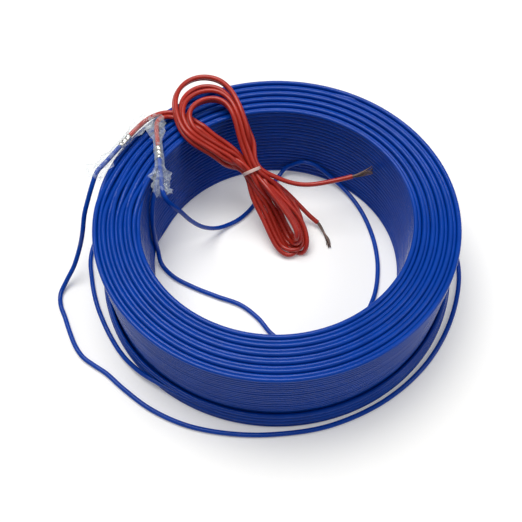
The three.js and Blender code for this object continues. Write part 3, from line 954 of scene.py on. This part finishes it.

# %% [markdown]
# Each splice sits in a piece of clear film tube. The film was crushed flat at its ends, so it flares into
# crumpled ears with ragged edges that catch the light. Thin clear film hardly tints what is behind it, and
# seen edge on it looks white from its reflection. So its cover holds a painted sheen that follows the
# facing, and creases add to it.

# %% Clear film
def clear_film():
    material, nodes, link, shader = started_material("clear_film")
    shader.inputs["Base Color"].default_value = (0.78, 0.86, 0.9, 1)
    shader.inputs["Roughness"].default_value = 0.1
    shader.inputs["Specular IOR Level"].default_value = 0.8
    facing = nodes.new("ShaderNodeLayerWeight")
    facing.inputs["Blend"].default_value = 0.35
    place = nodes.new("ShaderNodeTexCoord")
    crease = nodes.new("ShaderNodeTexNoise")
    crease.inputs["Scale"].default_value = 330
    crease.inputs["Detail"].default_value = 2
    link(place.outputs["Object"], crease.inputs["Vector"])
    creased = nodes.new("ShaderNodeMapRange")
    creased.inputs["From Min"].default_value = 0.52
    creased.inputs["From Max"].default_value = 0.72
    creased.inputs["To Min"].default_value = 0.02
    creased.inputs["To Max"].default_value = 0.24
    link(crease.outputs["Fac"], creased.inputs["Value"])
    # Painted sheen: the facing term raises the white cover where the film is seen edge on, in place of its
    # reflection. The creases add their own cover.
    cover_and_edge_sheen = nodes.new("ShaderNodeMath")
    cover_and_edge_sheen.operation = "MULTIPLY_ADD"
    cover_and_edge_sheen.inputs[1].default_value = 0.6
    link(facing.outputs["Facing"], cover_and_edge_sheen.inputs[0])
    link(creased.outputs["Result"], cover_and_edge_sheen.inputs[2])
    cover_and_edge_sheen.use_clamp = True
    link(cover_and_edge_sheen.outputs[0], shader.inputs["Alpha"])
    bump = nodes.new("ShaderNodeBump")
    bump.inputs["Strength"].default_value = 0.4
    bump.inputs["Distance"].default_value = 0.0004
    link(crease.outputs["Fac"], bump.inputs["Height"])
    link(bump.outputs["Normal"], shader.inputs["Normal"])
    material.diffuse_color = (0.78, 0.86, 0.9, 0.35)
    return material


film = clear_film()
print("film:", film.name)

# %% Film sleeves
def film_sleeve(splice, seed, flares, start_reach, end_reach):
    """An oval tube whose half width and half height change along it, with side fins and folded noise."""
    draw = np.random.default_rng(seed)
    length, axis, side, up = splice_frame(splice)
    rows, columns = 30, 16
    s = np.linspace(-start_reach, length + end_reach, rows)
    share = (s + start_reach) / (length + start_reach + end_reach)
    wide = np.interp(share, *flares["wide"])
    high = np.interp(share, *flares["high"])
    crumple = np.interp(share, *flares["crumple"])
    angle = 2 * np.pi * np.arange(columns) / columns
    folds = draw.normal(0, 1, (rows, columns))
    folds = (folds + np.roll(folds, 1, 0) * 0.6 + np.roll(folds, 1, 1) * 0.6) / 1.4
    bulge = 1 + crumple[:, None] * folds
    ragged = draw.normal(0, 1, columns) * 0.9
    reach = np.zeros((rows, columns))
    reach[:3] -= ragged * np.array([1, 0.6, 0.2])[:, None]
    reach[-3:] += np.roll(ragged, 7) * np.array([0.2, 0.6, 1])[:, None]
    points = splice["lead"] + (s[:, None] + reach)[:, :, None] * axis
    fin = np.interp(share, *flares["fin"])[:, None] * np.cos(angle) * np.abs(np.cos(angle)) ** 7
    points = points + (wide[:, None] * np.cos(angle) * bulge + fin * (1 + 0.35 * folds))[:, :, None] * side
    points = points + (high[:, None] * np.sin(angle) * bulge)[:, :, None] * up
    points[:, :, 2] = np.maximum(points[:, :, 2], COIL_TOP + 0.1)
    return points.reshape(-1, 3), grid_faces(rows, columns, True)


FLARES = {
    "wide": ([0, 0.1, 0.2, 0.3, 0.65, 0.74, 0.86, 0.93, 1], [2.6, 2.9, 2.8, 2.2, 2.2, 2.8, 3.0, 2.8, 3.0]),
    "high": ([0, 0.1, 0.2, 0.3, 0.65, 0.74, 0.86, 0.93, 1], [2.0, 1.9, 1.9, 2.2, 2.2, 1.9, 1.8, 1.8, 2.0]),
    "fin": (
        [0, 0.05, 0.14, 0.24, 0.3, 0.68, 0.76, 0.84, 0.9, 0.95, 1],
        [0.3, 1.3, 1.7, 1.0, 0, 0, 1.6, 0.6, 2.0, 1.2, 0.5],
    ),
    "crumple": ([0, 0.1, 0.22, 0.32, 0.62, 0.72, 0.9, 1], [0.14, 0.15, 0.16, 0.04, 0.05, 0.16, 0.2, 0.22]),
}
sleeves = {}
for side, seed, start_reach, end_reach in (("outer", 5, 6.0, 3.5), ("inner", 9, 3.4, 1.8)):
    points, faces = film_sleeve(splices[side], seed, FLARES, start_reach, end_reach)
    sleeves[side] = mesh_piece(side + "_film_sleeve", points, faces, film, smooth=False)
    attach(sleeves[side], "root")
    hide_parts(side + "_splice_sleeve")
print("sleeves:", sorted(sleeves))

# %% [markdown]
# The wires and leads are free cords.


print("cords: two ends of the wire and two red leads")

# %% [markdown]
# The floor is a plain pale sheet that glows faintly, so its shadows stay light. A large lamp hangs above,
# a little behind and to the left, and a weaker one is at the right. The surround is dim at the horizon
# and brighter overhead, so the turns keep their deep blue and get thin highlights on top.

# %% Floor
def pale_floor():
    material, nodes, link, shader = started_material("pale_floor")
    place = nodes.new("ShaderNodeTexCoord")
    noise = nodes.new("ShaderNodeTexNoise")
    noise.inputs["Scale"].default_value = 14
    link(place.outputs["Object"], noise.inputs["Vector"])
    mix = nodes.new("ShaderNodeMixRGB")
    mix.inputs["Color1"].default_value = (0.86, 0.855, 0.84, 1)
    mix.inputs["Color2"].default_value = (0.9, 0.9, 0.89, 1)
    link(noise.outputs["Fac"], mix.inputs["Fac"])
    link(mix.outputs[0], shader.inputs["Base Color"])
    shader.inputs["Roughness"].default_value = 0.6
    shader.inputs["Emission Color"].default_value = (1.0, 1.0, 0.98, 1)
    shader.inputs["Emission Strength"].default_value = 0.15
    return material


REACH = 20000
corners = [[-REACH, -REACH, 0], [REACH, -REACH, 0], [REACH, REACH, 0], [-REACH, REACH, 0]]
floor = mesh_piece("floor", corners, [[0, 1, 2, 3]], pale_floor())
print("floor made")

# %% Lights
def soft_lamp(name, place, target, size, power, colour):
    data = bpy.data.lights.new(name, "AREA")
    data.shape = "DISK"
    data.size = size
    data.energy = power
    data.color = colour
    lamp = bpy.data.objects.new(name, data)
    bpy.context.scene.collection.objects.link(lamp)
    place = np.array(place, float)
    back = place - np.array(target, float)
    back /= np.linalg.norm(back)
    right = np.cross([0.0, 0.0, 1.0], back)
    right /= np.linalg.norm(right)
    up = np.cross(back, right)
    lamp.matrix_world = Matrix([
        [right[0], up[0], back[0], place[0]],
        [right[1], up[1], back[1], place[1]],
        [right[2], up[2], back[2], place[2]],
        [0, 0, 0, 1],
    ])
    return lamp


def white_surround(horizon, overhead):
    """Brightness = horizon + (overhead - horizon) * height of the direction."""
    world = bpy.data.worlds.new("white_surround")
    world.use_nodes = True
    nodes = world.node_tree.nodes
    link = world.node_tree.links.new
    background = nodes["Background"]
    background.inputs["Color"].default_value = (1.0, 0.995, 0.98, 1)
    place = nodes.new("ShaderNodeTexCoord")
    split = nodes.new("ShaderNodeSeparateXYZ")
    rise = nodes.new("ShaderNodeMapRange")
    rise.inputs["To Min"].default_value = horizon
    rise.inputs["To Max"].default_value = overhead
    link(place.outputs["Generated"], split.inputs[0])
    link(split.outputs["Z"], rise.inputs["Value"])
    link(rise.outputs["Result"], background.inputs["Strength"])
    return world


bpy.context.scene.world = white_surround(0.12, 0.45)
soft_lamp("overhead_lamp", (-0.2, 0.25, 1.1), (0, 0, 0), 0.85, 10.5, (1.0, 0.995, 0.98))
soft_lamp("right_lamp", (0.9, -0.1, 0.9), (0, 0, 0), 0.6, 2.0, (1.0, 1.0, 1.0))
bpy.context.scene.view_settings.view_transform = "Standard"
print("lights set")
